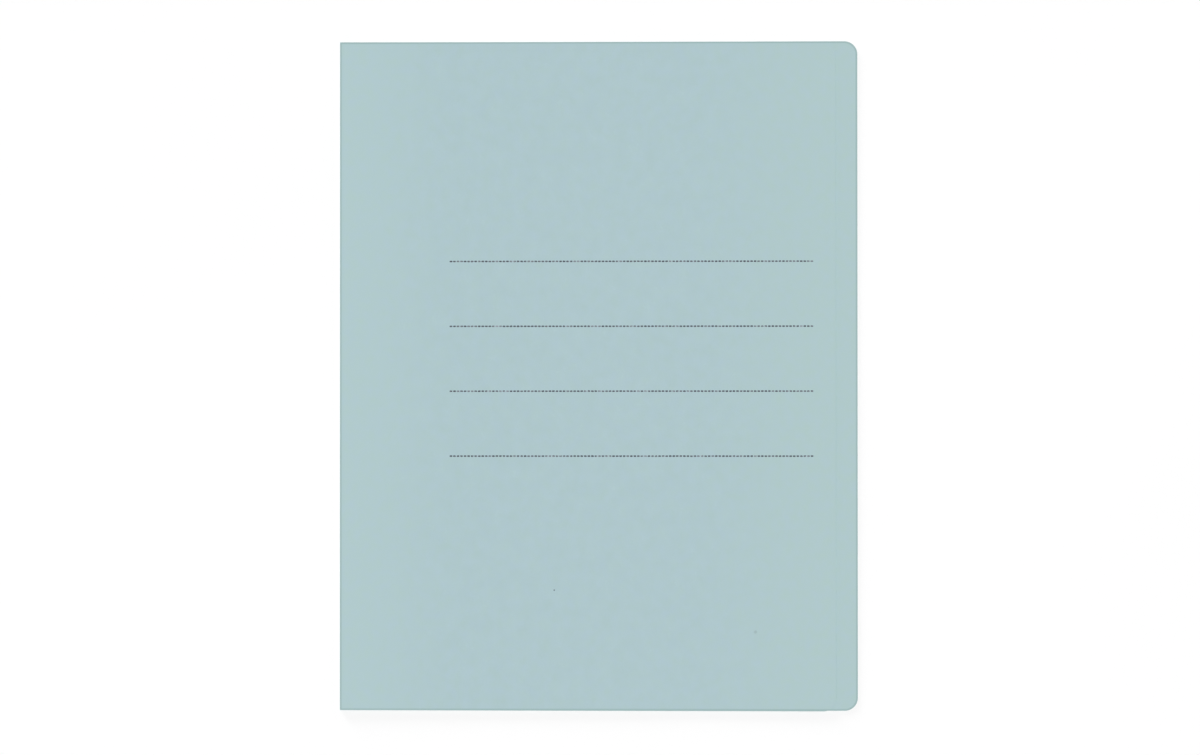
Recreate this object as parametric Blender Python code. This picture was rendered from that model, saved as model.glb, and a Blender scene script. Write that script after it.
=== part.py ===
"""Insert folder: one sheet of stiff pale blue-grey card, creased and folded once.

The folder lies closed on its back leaf. The fold runs up the left side, the free edges
are on the right, and +Z points up through the front leaf. All sizes are in metres. The
origin is the middle of the closed folder's underside.
"""

import math

import bmesh
import bpy
from mathutils import Matrix, Vector

# The card that the whole folder is made of
CARD_THICKNESS = 0.0003
CARD_COLOUR = (0.42, 0.57, 0.595, 1.0)
CARD_ROUGHNESS = 0.85

# The two leaves
LEAF_HEIGHT = 0.310
BACK_LEAF_WIDTH = 0.240  # from the outer line of the fold to the free edge
FRONT_LEAF_SETBACK = 0.010  # strip of the back leaf that shows past the front leaf
CORNER_RADIUS = 0.006  # free corners; the corners at the fold are square
CORNER_SEGMENTS = 16

# The creased fold
LEAF_GAP = 0.0003  # air between the closed leaves
CREASE_CLEARANCE = 0.0003  # between the fold strip and the edge of each leaf
FOLD_SEGMENTS = 24  # facets round the half turn, an even number

# Sizes that follow from the ones above
CLOSED_THICKNESS = 2 * CARD_THICKNESS + LEAF_GAP
FOLD_RADIUS = CLOSED_THICKNESS / 2
FOLD_LINE_X = -BACK_LEAF_WIDTH / 2
BEND_X = FOLD_LINE_X + FOLD_RADIUS
LEAF_START_X = BEND_X + CREASE_CLEARANCE
BACK_EDGE_X = FOLD_LINE_X + BACK_LEAF_WIDTH
FRONT_EDGE_X = BACK_EDGE_X - FRONT_LEAF_SETBACK

# The cover turns about the outermost line of the fold. Half a turn lays it down beside
# the back leaf, at the same level.
COVER_AXIS = Vector((FOLD_LINE_X, 0.0, FOLD_RADIUS))

# The fold strip turns at half the cover's rate. A quarter turn about this axis takes it
# from standing at the side of the folder to lying midway between the two open leaves.
FOLD_AXIS = Vector((BEND_X - FOLD_RADIUS / 2, 0.0, FOLD_RADIUS / 2))


def clear_scene() -> None:
    """Removes every object of the scene."""
    for obj in list(bpy.data.objects):
        bpy.data.objects.remove(obj, do_unlink=True)


def card_material(name: str) -> bpy.types.Material:
    """The plain matt card, coloured through.

    Args:
        name: the material's name.

    Returns:
        The new material.
    """
    material = bpy.data.materials.new(name)
    material.use_nodes = True
    shader = material.node_tree.nodes["Principled BSDF"]
    shader.inputs["Base Color"].default_value = CARD_COLOUR
    shader.inputs["Roughness"].default_value = CARD_ROUGHNESS
    shader.inputs["Metallic"].default_value = 0.0
    return material


def leaf_outline(start_x: float, edge_x: float) -> list[tuple[float, float]]:
    """The outline of a leaf: square corners at the fold, rounded free corners.

    Args:
        start_x: the edge beside the fold.
        edge_x: the free edge.

    Returns:
        The points of the outline, anticlockwise.
    """
    half = LEAF_HEIGHT / 2
    points = [(start_x, -half)]
    for side, first_angle in ((-1, -math.pi / 2), (1, 0.0)):
        centre_x = edge_x - CORNER_RADIUS
        centre_y = side * (half - CORNER_RADIUS)
        for step in range(CORNER_SEGMENTS + 1):
            angle = first_angle + step * math.pi / 2 / CORNER_SEGMENTS
            x = centre_x + CORNER_RADIUS * math.cos(angle)
            y = centre_y + CORNER_RADIUS * math.sin(angle)
            points.append((x, y))
    points.append((start_x, half))
    return points


def build_leaf(name: str, edge_x: float, bottom_z: float) -> bpy.types.Object:
    """A flat leaf of card, cut to its outline.

    Args:
        name: the object's name.
        edge_x: where its free edge is.
        bottom_z: the level of its underside.

    Returns:
        The leaf, as a filled outline with the thickness of the card.
    """
    outline = leaf_outline(LEAF_START_X, edge_x)
    curve = bpy.data.curves.new(name, "CURVE")
    curve.dimensions = "2D"
    curve.fill_mode = "BOTH"
    curve.extrude = CARD_THICKNESS / 2
    spline = curve.splines.new("POLY")
    spline.points.add(len(outline) - 1)
    for point, (x, y) in zip(spline.points, outline):
        point.co = (x, y, 0.0, 1.0)
    spline.use_cyclic_u = True
    leaf = bpy.data.objects.new(name, curve)
    leaf.location.z = bottom_z + CARD_THICKNESS / 2
    return leaf


def build_fold(name: str) -> bpy.types.Object:
    """The fold: the card's own section carried half a turn round the bend.

    Args:
        name: the object's name.

    Returns:
        The fold strip, with its origin on the axis that it turns about.
    """
    half = LEAF_HEIGHT / 2
    section = (
        (BEND_X, -half, 0.0),
        (BEND_X, half, 0.0),
        (BEND_X, half, CARD_THICKNESS),
        (BEND_X, -half, CARD_THICKNESS),
    )
    mesh = bmesh.new()
    face = mesh.faces.new([mesh.verts.new(corner) for corner in section])
    bmesh.ops.spin(
        mesh,
        geom=[face, *face.edges, *face.verts],
        cent=(BEND_X, 0.0, FOLD_RADIUS),
        axis=(0.0, 1.0, 0.0),
        angle=math.pi,
        steps=FOLD_SEGMENTS,
        use_duplicate=False,
    )
    bmesh.ops.recalc_face_normals(mesh, faces=mesh.faces)
    mesh.transform(Matrix.Translation(-FOLD_AXIS))
    data = bpy.data.meshes.new(name)
    mesh.to_mesh(data)
    mesh.free()
    fold = bpy.data.objects.new(name, data)
    fold.location = FOLD_AXIS
    return fold


def hang_on_axis(piece: bpy.types.Object, name: str, axis: Vector) -> bpy.types.Object:
    """Parents a moving piece to an empty on the axis that it turns about.

    Args:
        piece: the moving piece, already in place.
        name: the empty's name.
        axis: a point of the axis, at the middle of the fold.

    Returns:
        The empty.
    """
    empty = bpy.data.objects.new(name, None)
    empty.location = axis
    piece.parent = empty
    piece.matrix_parent_inverse = Matrix.Translation(-axis)
    return empty


def main() -> None:
    """Builds the folder, closed, in a collection of its own."""
    clear_scene()
    folder = bpy.data.collections.new("insert_folder")
    bpy.context.scene.collection.children.link(folder)

    back = build_leaf("back_leaf", BACK_EDGE_X, 0.0)
    front = build_leaf("front_leaf", FRONT_EDGE_X, CLOSED_THICKNESS - CARD_THICKNESS)
    fold = build_fold("fold_strip")
    for piece in (back, fold, front):
        piece.data.materials.append(card_material(f"{piece.name}_card"))
        folder.objects.link(piece)
    folder.objects.link(hang_on_axis(front, "cover_axis", COVER_AXIS))


main()
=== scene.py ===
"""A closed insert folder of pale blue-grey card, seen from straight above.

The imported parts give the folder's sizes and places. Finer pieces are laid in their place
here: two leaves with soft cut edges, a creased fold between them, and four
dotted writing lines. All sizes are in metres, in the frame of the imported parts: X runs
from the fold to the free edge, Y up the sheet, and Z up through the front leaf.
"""

import logging
import math
from collections.abc import Callable, Iterator
from contextlib import contextmanager
from dataclasses import dataclass, field
from enum import Enum

import bmesh
import bpy
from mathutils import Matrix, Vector


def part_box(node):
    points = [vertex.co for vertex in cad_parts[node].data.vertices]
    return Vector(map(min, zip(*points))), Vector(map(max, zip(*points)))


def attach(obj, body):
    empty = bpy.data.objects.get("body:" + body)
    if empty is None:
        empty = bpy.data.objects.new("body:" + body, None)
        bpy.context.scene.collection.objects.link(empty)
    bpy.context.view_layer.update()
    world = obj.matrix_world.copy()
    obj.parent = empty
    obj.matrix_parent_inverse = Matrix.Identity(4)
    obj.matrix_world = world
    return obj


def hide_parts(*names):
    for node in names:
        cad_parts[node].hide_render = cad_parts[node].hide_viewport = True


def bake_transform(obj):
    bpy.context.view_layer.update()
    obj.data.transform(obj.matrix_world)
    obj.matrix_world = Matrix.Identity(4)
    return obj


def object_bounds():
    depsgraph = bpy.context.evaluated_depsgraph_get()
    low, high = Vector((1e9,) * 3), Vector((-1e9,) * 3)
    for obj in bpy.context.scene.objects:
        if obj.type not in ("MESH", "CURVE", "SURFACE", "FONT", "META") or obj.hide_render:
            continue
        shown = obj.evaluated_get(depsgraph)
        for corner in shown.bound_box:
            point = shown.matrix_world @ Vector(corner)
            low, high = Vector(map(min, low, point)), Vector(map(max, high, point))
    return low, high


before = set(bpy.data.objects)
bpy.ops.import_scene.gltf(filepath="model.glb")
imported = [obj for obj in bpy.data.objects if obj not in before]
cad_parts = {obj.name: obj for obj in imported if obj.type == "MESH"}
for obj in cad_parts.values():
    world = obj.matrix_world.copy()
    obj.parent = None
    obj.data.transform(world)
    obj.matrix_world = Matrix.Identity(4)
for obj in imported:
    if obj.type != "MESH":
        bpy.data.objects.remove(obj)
CAD_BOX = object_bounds()
CORNER_RADIUS = 0.006  # the free corners of both leaves
EDGE_ROUND = 0.00010  # how far the cut edges are worn round
EDGE_STEPS = 2
SMOOTH_ANGLE = math.radians(40.0)  # edges sharper than this stay sharp
STEEP = 0.8  # a face looks along an axis where its normal has more than this of it
HALFWAY = 0.5  # between a face that looks along an axis and one that looks across it
MIDDLE = 0.5  # the middle of a value that runs from 0 to 1
OVERHEAD = 90.0  # the height of a lamp straight above the table, in degrees
HAIR = 1e-6  # far below any size of the folder
UPWARDS = 1.0  # the offset that thickens a sheet upwards

LOG = logging.getLogger("insert_folder")

Triple = tuple[float, float, float]
Colour = Triple  # red, green and blue, in linear light


class Axis(Enum):
    """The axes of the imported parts' frame."""

    X = 0
    Y = 1
    Z = 2


class Pick(Enum):
    """What an edit-mode step selects."""

    POINTS = "VERT"
    EDGES = "EDGE"


class Falloff(Enum):
    """How a pull fades with the distance."""

    EVEN = "LINEAR"
    SOFT = "SMOOTH"


class Body(Enum):
    """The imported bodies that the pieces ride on."""

    BACK = "back"
    COVER = "cover"


class Detail(Enum):
    """How many finer layers a noise has."""

    PLAIN = 1.0
    FINE = 2.0
    RICH = 3.0


class MixSocket(Enum):
    """The sockets of a Mix node that mixes colours, by their places."""

    SHARE = 0
    FIRST = 6
    SECOND = 7
    RESULT = 2


class Bench:
    """Modelling steps that several pieces share."""

    @staticmethod
    def take(piece: bpy.types.Object) -> None:
        """Makes a piece the only one that is selected.

        Args:
            piece: the piece that the next step works on.
        """
        bpy.ops.object.select_all(action="DESELECT")
        piece.select_set(True)
        bpy.context.view_layer.objects.active = piece

    @staticmethod
    def plane(
        name: str, width: float, length: float, middle: Vector, lean: float = 0.0
    ) -> bpy.types.Object:
        """Adds a flat rectangle and applies its size and place.

        Args:
            name: the piece's name.
            width: its size along X, before it leans.
            length: its size along Y.
            middle: its middle.
            lean: its turn about Y, in radians.

        Returns:
            The rectangle, with one face.
        """
        bpy.ops.object.select_all(action="DESELECT")
        bpy.ops.mesh.primitive_plane_add(size=1.0, location=middle, rotation=(0.0, lean, 0.0))
        piece = bpy.context.object
        piece.name = name
        piece.data.name = name
        piece.scale = (width, length, 1.0)
        bpy.ops.object.transform_apply(location=True, rotation=True, scale=True)
        return piece

    @staticmethod
    @contextmanager
    def editing(piece: bpy.types.Object) -> Iterator[None]:
        """Opens a piece in edit mode, with all of it selected, and closes it again.

        Args:
            piece: the mesh to shape.
        """
        Bench.take(piece)
        bpy.ops.object.mode_set(mode="EDIT")
        bpy.ops.mesh.select_all(action="SELECT")
        yield
        bpy.ops.object.mode_set(mode="OBJECT")

    @staticmethod
    def pick(piece: bpy.types.Object, kind: Pick, wanted: Callable[..., bool]) -> None:
        """Selects parts of the mesh in edit mode.

        Args:
            piece: the mesh that is being edited.
            kind: points or edges.
            wanted: says of one part whether to select it.
        """
        bpy.ops.mesh.select_mode(type=kind.value)
        bpy.ops.mesh.select_all(action="DESELECT")
        shape = bmesh.from_edit_mesh(piece.data)
        for part in shape.verts if kind is Pick.POINTS else shape.edges:
            if wanted(part):
                part.select_set(True)
        shape.select_flush_mode()
        bmesh.update_edit_mesh(piece.data)

    @staticmethod
    def soften(piece: bpy.types.Object, axis: Axis, joined: Callable[[Vector], bool]) -> None:
        """Rounds the rims between the faces that look along an axis and the faces beside them.

        Args:
            piece: the mesh that is being edited.
            axis: the axis.
            joined: says of a point whether it lies where the piece runs into the next one.
        """

        def is_rim(edge: bmesh.types.BMEdge) -> bool:
            """Says whether an edge is a rim, and free."""
            slopes = sorted(abs(face.normal[axis.value]) for face in edge.link_faces)
            free = not all(joined(point.co) for point in edge.verts)
            return slopes[0] < HALFWAY < slopes[-1] and free

        Bench.pick(piece, Pick.EDGES, is_rim)
        bpy.ops.mesh.bevel(offset=EDGE_ROUND, segments=EDGE_STEPS, affect="EDGES")

    @staticmethod
    def modify(piece: bpy.types.Object, kind: str, **settings: object) -> None:
        """Adds a modifier and applies it.

        Args:
            piece: the piece that it changes.
            kind: the modifier's type.
            **settings: the modifier's properties.
        """
        Bench.take(piece)
        modifier = piece.modifiers.new(kind.lower(), kind)
        for name, value in settings.items():
            setattr(modifier, name, value)
        bpy.ops.object.modifier_apply(modifier=modifier.name)

    @staticmethod
    def smooth(piece: bpy.types.Object) -> None:
        """Shades a piece smooth, with its large faces flat.

        Args:
            piece: the piece.
        """
        Bench.take(piece)
        bpy.ops.object.shade_smooth_by_angle(angle=SMOOTH_ANGLE)
        Bench.modify(piece, "WEIGHTED_NORMAL", keep_sharp=True)

    @staticmethod
    def coat(
        piece: bpy.types.Object,
        face: bpy.types.Material,
        edge: bpy.types.Material,
        cut: Callable[[Vector], bool],
    ) -> None:
        """Gives a piece of card one finish on its faces and another on its cut edges.

        Args:
            piece: the piece.
            face: the finish of its faces.
            edge: the finish of its cut edges.
            cut: says of a side, by its normal, whether it is a cut edge.
        """
        piece.data.materials.append(face)
        piece.data.materials.append(edge)
        for side in piece.data.polygons:
            side.material_index = int(cut(side.normal))


class Value:
    """A number that varies over a surface: one output socket of a node."""

    def __init__(self, nodes: "Nodes", socket: bpy.types.NodeSocket) -> None:
        """Wraps a socket.

        Args:
            nodes: the node tree that the socket belongs to.
            socket: the output socket.
        """
        self.nodes = nodes
        self.socket = socket

    def math(self, operation: str, first: "Value | float", second: "Value | float") -> "Value":
        """Adds a Math node.

        Args:
            operation: the node's operation.
            first: its first value.
            second: its second value.

        Returns:
            The node's result.
        """
        return self.nodes.node("ShaderNodeMath", {"operation": operation}, {0: first, 1: second})

    def __add__(self, other: "Value | float") -> "Value":
        """self + other."""
        return self.math("ADD", self, other)

    def __radd__(self, other: float) -> "Value":
        """other + self."""
        return self.math("ADD", other, self)

    def __sub__(self, other: "Value | float") -> "Value":
        """self - other."""
        return self.math("SUBTRACT", self, other)

    def __rsub__(self, other: float) -> "Value":
        """other - self."""
        return self.math("SUBTRACT", other, self)

    def __mul__(self, other: "Value | float") -> "Value":
        """self * other."""
        return self.math("MULTIPLY", self, other)

    def __rmul__(self, other: float) -> "Value":
        """other * self."""
        return self.math("MULTIPLY", other, self)

    def above(self, floor: float) -> "Value":
        """How far the value lies above a floor, and 0 where it lies below."""
        return self.math("MAXIMUM", self - floor, 0.0)

    def __abs__(self) -> "Value":
        """abs(self)."""
        return self.nodes.node("ShaderNodeMath", {"operation": "ABSOLUTE"}, {0: self})


class Nodes:
    """A node tree, and the ways to add to it."""

    def __init__(self, tree: bpy.types.NodeTree) -> None:
        """Takes a node tree.

        Args:
            tree: the tree.
        """
        self.tree = tree

    def node(
        self,
        kind: str,
        settings: dict[str, object] | None = None,
        inputs: dict[str | int, object] | None = None,
        output: str | int = 0,
    ) -> Value:
        """Adds a node.

        Args:
            kind: the node's type.
            settings: its properties, which are set first.
            inputs: the values or links of its sockets.
            output: the output that is wanted.

        Returns:
            That output.
        """
        made = self.tree.nodes.new(kind)
        for name, value in (settings or {}).items():
            setattr(made, name, value)
        for key, value in (inputs or {}).items():
            self.feed(made.inputs[key], value)
        return Value(self, made.outputs[output])

    def feed(self, socket: bpy.types.NodeSocket, value: object) -> None:
        """Links a varying value to a socket, or sets a constant on it.

        Args:
            socket: the input socket.
            value: a Value, a number, a colour or a vector.
        """
        if isinstance(value, Value):
            self.tree.links.new(value.socket, socket)
        elif socket.type == "RGBA":
            socket.default_value = (*value, 1.0)
        else:
            socket.default_value = value

    def along(self, axis: Axis, point: Value) -> Value:
        """One coordinate of a point or direction."""
        return self.node("ShaderNodeSeparateXYZ", inputs={0: point}, output=axis.name)

    def step(self, value: Value, low: float, high: float) -> Value:
        """A soft step.

        Args:
            value: what is compared.
            low: where the step starts.
            high: where it ends.

        Returns:
            0 before the step and 1 after it.
        """
        sockets = {"Value": value, "From Min": low, "From Max": high}
        return self.node("ShaderNodeMapRange", {"interpolation_type": "SMOOTHSTEP"}, sockets)


class Recipe(Nodes):
    """One material's nodes."""

    def __init__(self, name: str) -> None:
        """Starts a material with its one shader.

        Args:
            name: the material's name.
        """
        self.material = bpy.data.materials.new(name)
        self.material.use_nodes = True
        super().__init__(self.material.node_tree)
        self.shader = self.tree.nodes["Principled BSDF"]
        self.place = self.node("ShaderNodeTexCoord", output="Object")

    def dress(self, **inputs: object) -> bpy.types.Material:
        """Sets the shader's sockets.

        Args:
            **inputs: socket names, with an underscore for each space, and their values.

        Returns:
            The finished material.
        """
        for name, value in inputs.items():
            self.feed(self.shader.inputs[name.replace("_", " ")], value)
        return self.material

    def grain(
        self,
        size: float,
        detail: Detail = Detail.FINE,
        warp: float = 0.0,
        squeeze: Triple = (1.0, 1.0, 1.0),
    ) -> Value:
        """Cloudy noise.

        Args:
            size: the width of its blots.
            detail: how finely it is broken up.
            warp: how far it is distorted.
            squeeze: how many times narrower the blots are along each axis.

        Returns:
            A value from -0.5 to 0.5, mostly near 0.
        """
        point = self.node("ShaderNodeMapping", inputs={"Vector": self.place, "Scale": squeeze})
        sockets = {
            "Vector": point,
            "Scale": 1.0 / size,
            "Detail": detail.value,
            "Distortion": warp,
        }
        return self.node("ShaderNodeTexNoise", inputs=sockets) - MIDDLE

    def mix(self, share: Value, first: "Value | Colour", second: "Value | Colour") -> Value:
        """Mixes two colours.

        Args:
            share: how much there is of the second.
            first: the first colour.
            second: the second colour.

        Returns:
            The mixed colour.
        """
        sockets = {
            MixSocket.SHARE.value: share,
            MixSocket.FIRST.value: first,
            MixSocket.SECOND.value: second,
        }
        result = MixSocket.RESULT.value
        return self.node("ShaderNodeMix", {"data_type": "RGBA"}, sockets, result)

    def bump(self, height: Value, depth: float) -> Value:
        """A surface that rises and falls.

        Args:
            height: the height, over a range of about 1.
            depth: how deep that is.

        Returns:
            The normal.
        """
        sockets = {"Strength": 1.0, "Distance": depth, "Height": height}
        return self.node("ShaderNodeBump", inputs=sockets)


@dataclass(frozen=True)
class Speck:
    """A dark speck of the pulp in the front leaf's outer face."""

    x: float
    y: float
    radius: float
    core: float  # the share of the radius where it is darkest
    share: float  # how much of the specks' colour it has there


@dataclass(frozen=True)
class CardFinish:
    """Matt card, coloured through: cloudy, unevenly dyed, with fibres and specks, painted light
    towards the sides and painted shade along the rims.
    """

    name: str = "card_face"
    deep: Colour = (0.398, 0.544, 0.536)
    pale: Colour = (0.441, 0.596, 0.583)
    cloud_size: float = 0.007
    cloud_tone: float = 0.9
    tooth_size: float = 0.0006
    tooth_tone: float = 0.7
    tooth_height: float = 0.7
    fibre_size: float = 0.0045
    fibre_width: float = 0.02
    fibre_warp: float = 0.8
    fibre_gaps: float = 0.0072
    fibre_start: float = 0.02  # where the gaps' noise lets a fibre start, and where it is whole
    fibre_whole: float = 0.10
    fibre_tone: float = 0.35
    fibre_height: float = 0.3
    # painted light: the card is paler, and a little warmer, towards the fold and the free edge
    fold_side_lit: Colour = (0.441, 0.602, 0.573)
    free_side_lit: Colour = (0.432, 0.588, 0.550)
    fold_start: float = -0.06  # where the painted light and tint of each side start along X, and where they are full
    fold_full: float = -0.12
    free_start: float = 0.038
    free_full: float = 0.108
    side_light_share: float = 0.9
    dye: Colour = (0.435, 0.572, 0.720)
    dye_size: float = 0.0045
    dye_share: float = 0.52
    speck: Colour = (0.10, 0.12, 0.14)
    specks: tuple[Speck, ...] = (
        Speck(x=-0.0205, y=-0.0993, radius=0.00045, core=0.4, share=0.85),
        Speck(x=0.0727, y=-0.1186, radius=0.00100, core=0.1, share=0.21),
    )
    inside: float = 0.00050  # the front leaf's inner face is lower than this where the specks are
    outside: float = 0.00062  # and its outer face is higher than this
    # painted shade: the darker colour along the outline's rims, and how much of it
    rim: Colour = (0.328, 0.472, 0.470)
    rim_share: float = 0.85
    rim_full: float = 0.0005  # how far in from the outline the painted rim shade is darkest, and where it ends
    rim_end: float = 0.0011
    roughness: float = 0.80
    roughness_range: float = 0.25
    specular: float = 0.28
    depth: float = 0.000016

    def fibres(self, recipe: Recipe) -> Value:
        """Short curved fibres: broken contour lines of a warped noise.

        Args:
            recipe: the material that is being made.

        Returns:
            1 on a fibre and 0 beside it.
        """
        contour = abs(recipe.grain(self.fibre_size, Detail.PLAIN, self.fibre_warp))
        line = 1.0 - recipe.step(contour, 0.0, self.fibre_width)
        gaps = recipe.grain(self.fibre_gaps)
        return line * recipe.step(gaps, self.fibre_start, self.fibre_whole)

    def specked(self, recipe: Recipe, plain: Value) -> Value:
        """Lays the specks over the card's colour.

        Args:
            recipe: the material that is being made.
            plain: the colour of the card.

        Returns:
            The colour, dark on the specks.
        """
        across, up, level = (recipe.along(axis, recipe.place) for axis in Axis)
        outer = recipe.step(level, self.inside, self.outside)
        for speck in self.specks:
            aside = across - speck.x
            above = up - speck.y
            far = aside * aside + above * above
            spot = 1.0 - recipe.step(far, (speck.radius * speck.core) ** 2, speck.radius**2)
            plain = recipe.mix(speck.share * spot * outer, plain, self.speck)
        return plain

    def painted_rim_shade(self, recipe: Recipe, plain: Value) -> Value:
        """Darkens the rims along the folder's outline: painted shade along the edges.

        Args:
            recipe: the material that is being made.
            plain: the colour of the card.

        Returns:
            The colour, with painted shade a little darker at the rims.
        """
        low, high = CAD_BOX
        across = recipe.along(Axis.X, recipe.place)
        aside = across.above(high.x - CORNER_RADIUS)
        beyond = abs(recipe.along(Axis.Y, recipe.place)).above(high.y - CORNER_RADIUS)
        inner, outer = CORNER_RADIUS - self.rim_end, CORNER_RADIUS - self.rim_full
        clear = 1.0 - recipe.step(aside * aside + beyond * beyond, inner**2, outer**2)
        clear = clear * recipe.step(across, low.x + self.rim_full, low.x + self.rim_end)
        return recipe.mix(self.rim_share * (1.0 - clear), plain, self.rim)

    def colour(self, recipe: Recipe, tone: Value) -> Value:
        """The card's colour.

        Args:
            recipe: the material that is being made.
            tone: how pale the card is, from 0 to 1.

        Returns:
            The colour, paler and a little warmer towards the fold and the free edge: painted
            light.
        """
        across = recipe.along(Axis.X, recipe.place)
        to_fold = recipe.step(across, self.fold_start, self.fold_full)
        to_edge = recipe.step(across, self.free_start, self.free_full)
        plain = recipe.mix(tone, self.deep, self.pale)
        # painted light towards the fold and the free edge
        plain = recipe.mix(self.side_light_share * to_fold, plain, self.fold_side_lit)
        plain = recipe.mix(self.side_light_share * to_edge, plain, self.free_side_lit)
        dyed = MIDDLE + recipe.grain(self.dye_size, Detail.RICH)
        return recipe.mix(self.dye_share * dyed, plain, self.dye)

    def material(self) -> bpy.types.Material:
        """Makes the material.

        Returns:
            The material.
        """
        recipe = Recipe(self.name)
        cloud = recipe.grain(self.cloud_size, Detail.RICH)
        tooth = recipe.grain(self.tooth_size, Detail.RICH)
        fibres = self.fibres(recipe)
        uneven = self.cloud_tone * cloud + self.tooth_tone * tooth + self.fibre_tone * fibres
        colour = self.specked(recipe, self.colour(recipe, MIDDLE + uneven))
        height = self.tooth_height * tooth + self.fibre_height * fibres
        return recipe.dress(
            # painted shade along the rims
            Base_Color=self.painted_rim_shade(recipe, colour),
            Roughness=self.roughness + self.roughness_range * tooth,
            Specular_IOR_Level=self.specular,
            Normal=recipe.bump(height, self.depth),
        )


@dataclass(frozen=True)
class FoldFinish(CardFinish):
    """The card where it is bent: fibres are stretched and rubbed pale along the outside."""

    name: str = "card_fold"
    rubbed: Colour = (0.50, 0.63, 0.65)
    rubbed_share: float = 0.6
    rub_start: float = 0.00030  # from the outermost line of the fold
    rub_end: float = 0.00005
    streak_size: float = 0.0004
    streak_squeeze: Triple = (1.0, 0.12, 1.0)
    streak_start: float = -0.05  # where the noise starts a streak, and where the streak is whole
    streak_whole: float = 0.20

    def colour(self, recipe: Recipe, tone: Value) -> Value:
        """The card's colour, with pale streaks along the outermost line of the fold.

        Args:
            recipe: the material that is being made.
            tone: how pale the card is, from 0 to 1.

        Returns:
            The colour.
        """
        plain = super().colour(recipe, tone)
        fold_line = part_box("fold_strip")[0].x
        inward = recipe.along(Axis.X, recipe.place) - fold_line
        outside = recipe.step(inward, self.rub_start, self.rub_end)
        streaks = recipe.grain(self.streak_size, squeeze=self.streak_squeeze)
        worn = outside * recipe.step(streaks, self.streak_start, self.streak_whole)
        return recipe.mix(self.rubbed_share * worn, plain, self.rubbed)


@dataclass(frozen=True)
class CutEdgeFinish:
    """The die-cut edge of the card: rough layers of fibre, a little paler than the face."""

    name: str = "card_cut_edge"
    deep: Colour = (0.39, 0.52, 0.55)
    pale: Colour = (0.51, 0.65, 0.67)
    layer: float = 0.00008
    layer_height: float = 0.6
    run: float = 0.0016  # how long a layer is before it breaks
    run_warp: float = 0.3
    tear: float = 0.00024
    tear_height: float = 0.4
    deepest: float = -0.2  # the height where the edge is darkest, and where it is palest
    palest: float = 0.2
    roughness: float = 0.86
    roughness_range: float = 0.2
    specular: float = 0.2
    depth: float = 0.00002

    def material(self) -> bpy.types.Material:
        """Makes the material.

        Returns:
            The material.
        """
        recipe = Recipe(self.name)
        flat = (1.0, 1.0, self.run / self.layer)
        layers = recipe.grain(self.run, Detail.RICH, self.run_warp, flat)
        torn = recipe.grain(self.tear)
        height = self.layer_height * layers + self.tear_height * torn
        high = recipe.step(height, self.deepest, self.palest)
        return recipe.dress(
            Base_Color=recipe.mix(high, self.deep, self.pale),
            Roughness=self.roughness + self.roughness_range * torn,
            Specular_IOR_Level=self.specular,
            Normal=recipe.bump(height, self.depth),
        )


@dataclass(frozen=True)
class InkFinish:
    """Blue-black printing ink, soaked in unevenly."""

    name: str = "printed_ink"
    full: Colour = (0.042, 0.050, 0.072)
    thin: Colour = (0.260, 0.292, 0.335)
    mottle_size: float = 0.00035
    mottle_share: float = 0.35
    run_size: float = 0.0024
    run_share: float = 0.65
    full_end: float = -0.04  # where the noise starts to thin the ink, and where it is thinnest
    thinnest: float = 0.18
    roughness: float = 0.55
    roughness_range: float = 0.3
    specular: float = 0.35
    depth: float = 0.000004

    def material(self) -> bpy.types.Material:
        """Makes the material.

        Returns:
            The material.
        """
        recipe = Recipe(self.name)
        mottle = recipe.grain(self.mottle_size)
        run = recipe.grain(self.run_size, Detail.PLAIN)
        uneven = self.mottle_share * mottle + self.run_share * run
        thin = recipe.step(uneven, self.full_end, self.thinnest)
        return recipe.dress(
            Base_Color=recipe.mix(thin, self.full, self.thin),
            Roughness=self.roughness + self.roughness_range * mottle,
            Specular_IOR_Level=self.specular,
            Normal=recipe.bump(mottle, self.depth),
        )


@dataclass(frozen=True)
class TableFinish:
    """A plain white table, faintly lit from below."""

    name: str = "white_table"
    white: Colour = (0.862, 0.862, 0.862)
    shade: Colour = (0.842, 0.842, 0.842)
    blot_size: float = 0.2
    roughness: float = 0.9
    specular: float = 0.1
    light: Colour = (1.0, 1.0, 1.0)
    glow: float = 0.10

    def material(self) -> bpy.types.Material:
        """Makes the material.

        Returns:
            The material.
        """
        recipe = Recipe(self.name)
        blots = MIDDLE + recipe.grain(self.blot_size)
        return recipe.dress(
            Base_Color=recipe.mix(blots, self.white, self.shade),
            Roughness=self.roughness,
            Specular_IOR_Level=self.specular,
            Emission_Color=self.light,
            Emission_Strength=self.glow,
        )


@dataclass(frozen=True)
class Lift:
    """A place on the free edge where a leaf stands slightly off what it lies on."""

    along: float  # where it is along Y
    height: float
    reach: float


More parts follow.
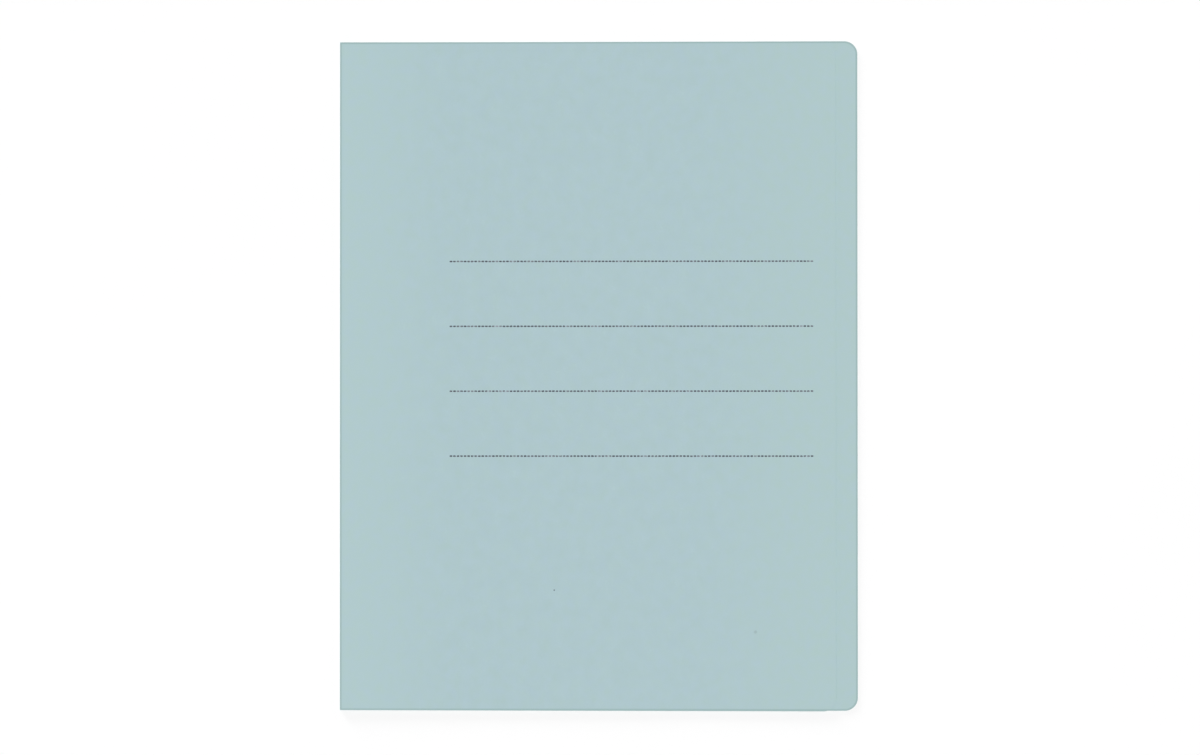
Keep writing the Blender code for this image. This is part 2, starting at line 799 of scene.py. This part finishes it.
@dataclass
class Leaf:
    """One leaf of the folder: a thin sheet with rounded free corners and soft cut edges."""

    node: str
    body: Body
    settle: Triple = (0.0, 0.0, 0.0)  # how far the free edge has moved
    lifts: tuple[Lift, ...] = ()
    corner_radius: float = CORNER_RADIUS
    corner_steps: int = 16
    cell: float = 0.010
    piece: bpy.types.Object | None = None

    def build(self) -> bpy.types.Object:
        """Cuts the sheet, eases it off the flat, and gives it thickness and soft edges.

        Returns:
            The leaf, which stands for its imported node.
        """
        low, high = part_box(self.node)
        size = high - low
        middle = (low + high) / 2
        underside = Vector((middle.x, middle.y, low.z))
        self.piece = Bench.plane(f"{self.node}_sheet", size.x, size.y, underside)
        with Bench.editing(self.piece):
            self.round_corners(high.x)
            self.cut_cells(low, high)
            self.pull(lambda point: point.co.x > high.x - HAIR, self.settle, size.x, Falloff.EVEN)
            for lift in self.lifts:
                self.ease(lift, Vector((high.x, lift.along)))
        Bench.modify(self.piece, "SOLIDIFY", thickness=size.z, offset=UPWARDS)
        with Bench.editing(self.piece):
            Bench.soften(self.piece, Axis.Z, lambda point: point.x < low.x + HAIR)
        Bench.smooth(self.piece)
        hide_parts(self.node)
        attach(self.piece, self.body.value)
        return self.piece

    def round_corners(self, free_edge: float) -> None:
        """Rounds the two corners at the free edge.

        Args:
            free_edge: where the free edge is along X.
        """
        Bench.pick(self.piece, Pick.POINTS, lambda point: point.co.x > free_edge - HAIR)
        bpy.ops.mesh.bevel(
            offset=self.corner_radius, segments=self.corner_steps, affect="VERTICES"
        )

    def cut_cells(self, low: Vector, high: Vector) -> None:
        """Cuts the sheet into cells, so that it can bend.

        Args:
            low: the leaf's lowest corner.
            high: its highest corner.
        """
        for axis in (Axis.X.value, Axis.Y.value):
            across = Vector((0.0, 0.0, 0.0))
            across[axis] = 1.0
            length = high[axis] - low[axis]
            cells = round(length / self.cell)
            for step in range(1, cells):
                bpy.ops.mesh.select_all(action="SELECT")
                bpy.ops.mesh.bisect(plane_co=low + across * length * step / cells, plane_no=across)

    def pull(
        self, wanted: Callable[..., bool], move: Triple, reach: float, falloff: Falloff
    ) -> None:
        """Moves some points of the sheet, and what is near them by less.

        Args:
            wanted: says of one point whether it moves the whole way.
            move: how far that is.
            reach: how far away the move fades out.
            falloff: how it fades.
        """
        Bench.pick(self.piece, Pick.POINTS, wanted)
        bpy.ops.transform.translate(
            value=move,
            use_proportional_edit=True,
            proportional_edit_falloff=falloff.value,
            proportional_size=reach,
        )

    def ease(self, lift: Lift, place: Vector) -> None:
        """Lifts the sheet at one place on its free edge.

        Args:
            lift: how far, and how wide.
            place: the place.
        """
        points = bmesh.from_edit_mesh(self.piece.data).verts
        nearest = min(points, key=lambda point: (point.co.xy - place).length).co.copy()
        self.pull(
            lambda point: (point.co - nearest).length < HAIR,
            (0.0, 0.0, lift.height),
            lift.reach,
            Falloff.SOFT,
        )

    def dress(self, face: bpy.types.Material, edge: bpy.types.Material) -> None:
        """Gives the faces and the cut edges their finishes.

        Args:
            face: the card's face.
            edge: the cut edge.
        """
        Bench.coat(self.piece, face, edge, lambda normal: abs(normal.z) < STEEP)


@dataclass
class Fold:
    """The creased fold: the card's section carried round the bend, from leaf to leaf."""

    node: str = "fold_strip"
    steps: int = 33  # an odd number, so that no points lie on the middle of the fold
    parting: float = 0.00001  # the height of a band about that middle
    piece: bpy.types.Object | None = None

    def build(self) -> bpy.types.Object:
        """Carries the card's section out of the back leaf, round the bend and into the front leaf.

        Returns:
            The fold, between the two leaves.
        """
        low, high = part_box(self.node)
        leaf_low, leaf_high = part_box("back_leaf")
        thick = leaf_high.z - leaf_low.z
        run = leaf_low.x - high.x
        section = Vector((leaf_low.x, 0.0, leaf_low.z + thick / 2))
        bend = Vector((high.x, 0.0, (low.z + high.z) / 2))
        self.piece = Bench.plane("creased_fold", thick, high.y - low.y, section, math.pi / 2)
        with Bench.editing(self.piece):
            bpy.ops.mesh.extrude_region_move(TRANSFORM_OT_translate={"value": (-run, 0.0, 0.0)})
            bpy.ops.mesh.spin(steps=self.steps, angle=math.pi, center=bend, axis=(0.0, -1.0, 0.0))
            bpy.ops.mesh.extrude_region_move(TRANSFORM_OT_translate={"value": (run, 0.0, 0.0)})
            bpy.ops.mesh.select_all(action="SELECT")
            bpy.ops.mesh.remove_doubles(threshold=HAIR)
            bpy.ops.mesh.normals_make_consistent(inside=False)
            Bench.soften(self.piece, Axis.Y, lambda point: point.x > leaf_low.x - HAIR)
        Bench.smooth(self.piece)
        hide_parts(self.node)
        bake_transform(self.piece)
        return self.piece

    def dress(self, face: bpy.types.Material, edge: bpy.types.Material) -> None:
        """Gives the bent card and its two cut ends their finishes.

        Args:
            face: the bent card.
            edge: the cut edge.
        """
        Bench.coat(self.piece, face, edge, lambda normal: abs(normal.y) > STEEP)


@dataclass
class WritingLines:
    """The dotted writing lines that are printed on the front leaf."""

    count: int = 4
    pitch: float = 0.0301
    first_drop: float = 0.1019  # from the top of the leaf to the first line
    from_fold: float = 0.0516  # from the fold to the middle of a line's first dot
    dots: int = 103
    dot_pitch: float = 0.00164
    dot_length: float = 0.00128
    dot_height: float = 0.00071
    dot_corner: float = 0.00030
    dot_corner_steps: int = 3
    ragged: float = 0.00007  # how far the points of a dot's outline stray
    film: float = 0.000012  # the thickness of the ink
    clearance: float = 0.002  # how far above the leaf a row is made, before it is laid down
    pieces: list[bpy.types.Object] = field(default_factory=list)

    def build(self, leaf: bpy.types.Object) -> list[bpy.types.Object]:
        """Prints the lines on the leaf.

        Args:
            leaf: the front leaf's sheet.

        Returns:
            The lines, from the top down.
        """
        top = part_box("front_leaf")[1]
        fold_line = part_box("fold_strip")[0].x
        start = (fold_line + self.from_fold, top.y - self.first_drop, top.z + self.clearance)
        row = self.dot_row(Vector(start))
        for index in range(self.count):
            self.pieces.append(self.lay(row, index, leaf))
        bpy.data.objects.remove(row)
        return self.pieces

    def dot_row(self, start: Vector) -> bpy.types.Object:
        """One row of flat dots, longer than they are high, above the leaf.

        Args:
            start: the middle of the first dot.

        Returns:
            The row.
        """
        row = Bench.plane("dot_row", self.dot_length, self.dot_height, start)
        with Bench.editing(row):
            bpy.ops.mesh.bevel(
                offset=self.dot_corner, segments=self.dot_corner_steps, affect="VERTICES"
            )
        Bench.modify(
            row,
            "ARRAY",
            count=self.dots,
            use_relative_offset=False,
            use_constant_offset=True,
            constant_offset_displace=(self.dot_pitch, 0.0, 0.0),
        )
        return row

    def lay(
        self, row: bpy.types.Object, index: int, leaf: bpy.types.Object
    ) -> bpy.types.Object:
        """Lays a ragged copy of the row on the leaf, as a thin film.

        Args:
            row: the row of dots.
            index: which line it becomes, from 0.
            leaf: the front leaf's sheet.

        Returns:
            The line.
        """
        line = row.copy()
        line.data = row.data.copy()
        line.name = f"writing_line_{index + 1}"
        bpy.context.collection.objects.link(line)
        with Bench.editing(line):
            bpy.ops.transform.translate(value=(0.0, -self.pitch * index, 0.0))
            bpy.ops.transform.vertex_random(offset=self.ragged, uniform=0.0, seed=index)
        Bench.modify(
            line,
            "SHRINKWRAP",
            target=leaf,
            wrap_method="PROJECT",
            use_project_z=True,
            use_negative_direction=True,
            use_positive_direction=False,
            offset=self.film / 2,
        )
        Bench.modify(line, "SOLIDIFY", thickness=self.film, offset=UPWARDS)
        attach(line, Body.COVER.value)
        return line

    def dress(self, ink: bpy.types.Material) -> None:
        """Gives the lines their ink.

        Args:
            ink: the ink.
        """
        for line in self.pieces:
            line.data.materials.append(ink)


@dataclass
class InsertFolder:
    """The whole folder, closed: two leaves, the fold that joins them, and the writing lines."""

    back: Leaf
    front: Leaf
    fold: Fold
    lines: WritingLines

    def build(self) -> list[bpy.types.Object]:
        """Builds the pieces, from the back leaf up.

        Returns:
            The pieces.
        """
        back, front, fold = self.back.build(), self.front.build(), self.fold.build()
        return [back, front, fold, *self.lines.build(front)]

    def dress(self) -> None:
        """Gives every piece its finish."""
        card = CardFinish().material()
        cut_edge = CutEdgeFinish().material()
        self.back.dress(card, cut_edge)
        self.front.dress(card, cut_edge)
        self.fold.dress(FoldFinish().material(), cut_edge)
        self.lines.dress(InkFinish().material())


@dataclass(frozen=True)
class Lamp:
    """A distant soft light."""

    name: str
    strength: float  # on a surface that faces it
    spread: float  # how wide it looks, in degrees
    height: float  # how high above the table it stands, in degrees
    side: float = 0.0  # which way it stands, in degrees from X towards Y
    table_only: bool = False  # whether the folder casts a shadow in it but isn't lit by it

    def hang(self, table: bpy.types.Object) -> None:
        """Adds the light.

        Args:
            table: the table under the folder.
        """
        bpy.ops.object.light_add(type="SUN")
        lamp = bpy.context.object
        lamp.name = self.name
        lamp.data.energy = self.strength
        lamp.data.angle = math.radians(self.spread)
        lean = math.radians(OVERHEAD - self.height)
        lamp.rotation_euler = (0.0, lean, math.radians(self.side))
        if self.table_only:
            lit = bpy.data.collections.new(f"{self.name}_reach")
            lit.objects.link(table)
            lamp.light_linking.receiver_collection = lit


@dataclass(frozen=True)
class Studio:
    """The plain table, the soft light from above and the upper left, and the camera overhead."""

    table_size: float = 30.0
    table_drop: float = 0.0001  # how far the table lies below the folder
    sky: float = 0.20  # how strong the room's light is from above, and from the horizon
    horizon: float = 1.0
    horizon_top: float = 0.08  # where the horizon's light starts to fade upwards, and ends
    horizon_fade: float = 0.20
    sky_colour: Colour = (1.0, 1.0, 1.0)
    lamps: tuple[Lamp, ...] = (
        Lamp("overhead_light", strength=2.444, spread=30.0, height=OVERHEAD),
        Lamp("low_window", strength=2.05, spread=10.0, height=6.0, side=125.0, table_only=True),
    )
    lens: float = 85.0
    sensor: float = 36.0
    camera_place: Triple = (0.02373, -0.00987, 1.3139)
    camera_turn: Triple = (0.397, 1.003, -0.017)  # in degrees

    def build(self) -> None:
        """Sets up the table, the light and the camera."""
        table = self.table()
        self.room()
        for lamp in self.lamps:
            lamp.hang(table)
        self.camera()

    def table(self) -> bpy.types.Object:
        """Lays the table under the folder.

        Returns:
            The table.
        """
        middle = Vector((0.0, 0.0, CAD_BOX[0].z - self.table_drop))
        top = Bench.plane("white_table", self.table_size, self.table_size, middle)
        top.data.materials.append(TableFinish().material())
        return top

    def room(self) -> None:
        """Fills the room with pale light, up to white at the horizon."""
        world = bpy.data.worlds.new("pale_room")
        world.use_nodes = True
        nodes = Nodes(world.node_tree)
        height = nodes.along(Axis.Z, nodes.node("ShaderNodeTexCoord", output="Generated"))
        band = 1.0 - nodes.step(height, self.horizon_top, self.horizon_fade)
        glow = world.node_tree.nodes["Background"]
        nodes.feed(glow.inputs["Color"], self.sky_colour)
        nodes.feed(glow.inputs["Strength"], self.sky + (self.horizon - self.sky) * band)
        bpy.context.scene.world = world

    def camera(self) -> None:
        """Sets the camera, fitted to the outline of the folder in the photograph."""
        turn = [math.radians(angle) for angle in self.camera_turn]
        bpy.ops.object.camera_add(location=self.camera_place, rotation=turn)
        camera = bpy.context.object
        camera.data.lens = self.lens
        camera.data.sensor_width = self.sensor
        bpy.context.scene.camera = camera
        bpy.context.scene.view_settings.view_transform = "Standard"


def main() -> None:
    """Builds the folder and its studio."""
    logging.basicConfig(level=logging.INFO, format="%(message)s")
    folder = InsertFolder(
        back=Leaf("back_leaf", Body.BACK),
        front=Leaf(
            "front_leaf",
            Body.COVER,
            settle=(0.0, -0.00025, -0.00027),
            lifts=(
                Lift(along=-0.155, height=0.00015, reach=0.07),
                Lift(along=-0.02, height=0.00010, reach=0.06),
            ),
        ),
        fold=Fold(),
        lines=WritingLines(),
    )
    for piece in folder.build():
        LOG.info("%s: %d faces", piece.name, len(piece.data.polygons))
    folder.dress()
    Studio().build()


if __name__ == "__main__":
    main()
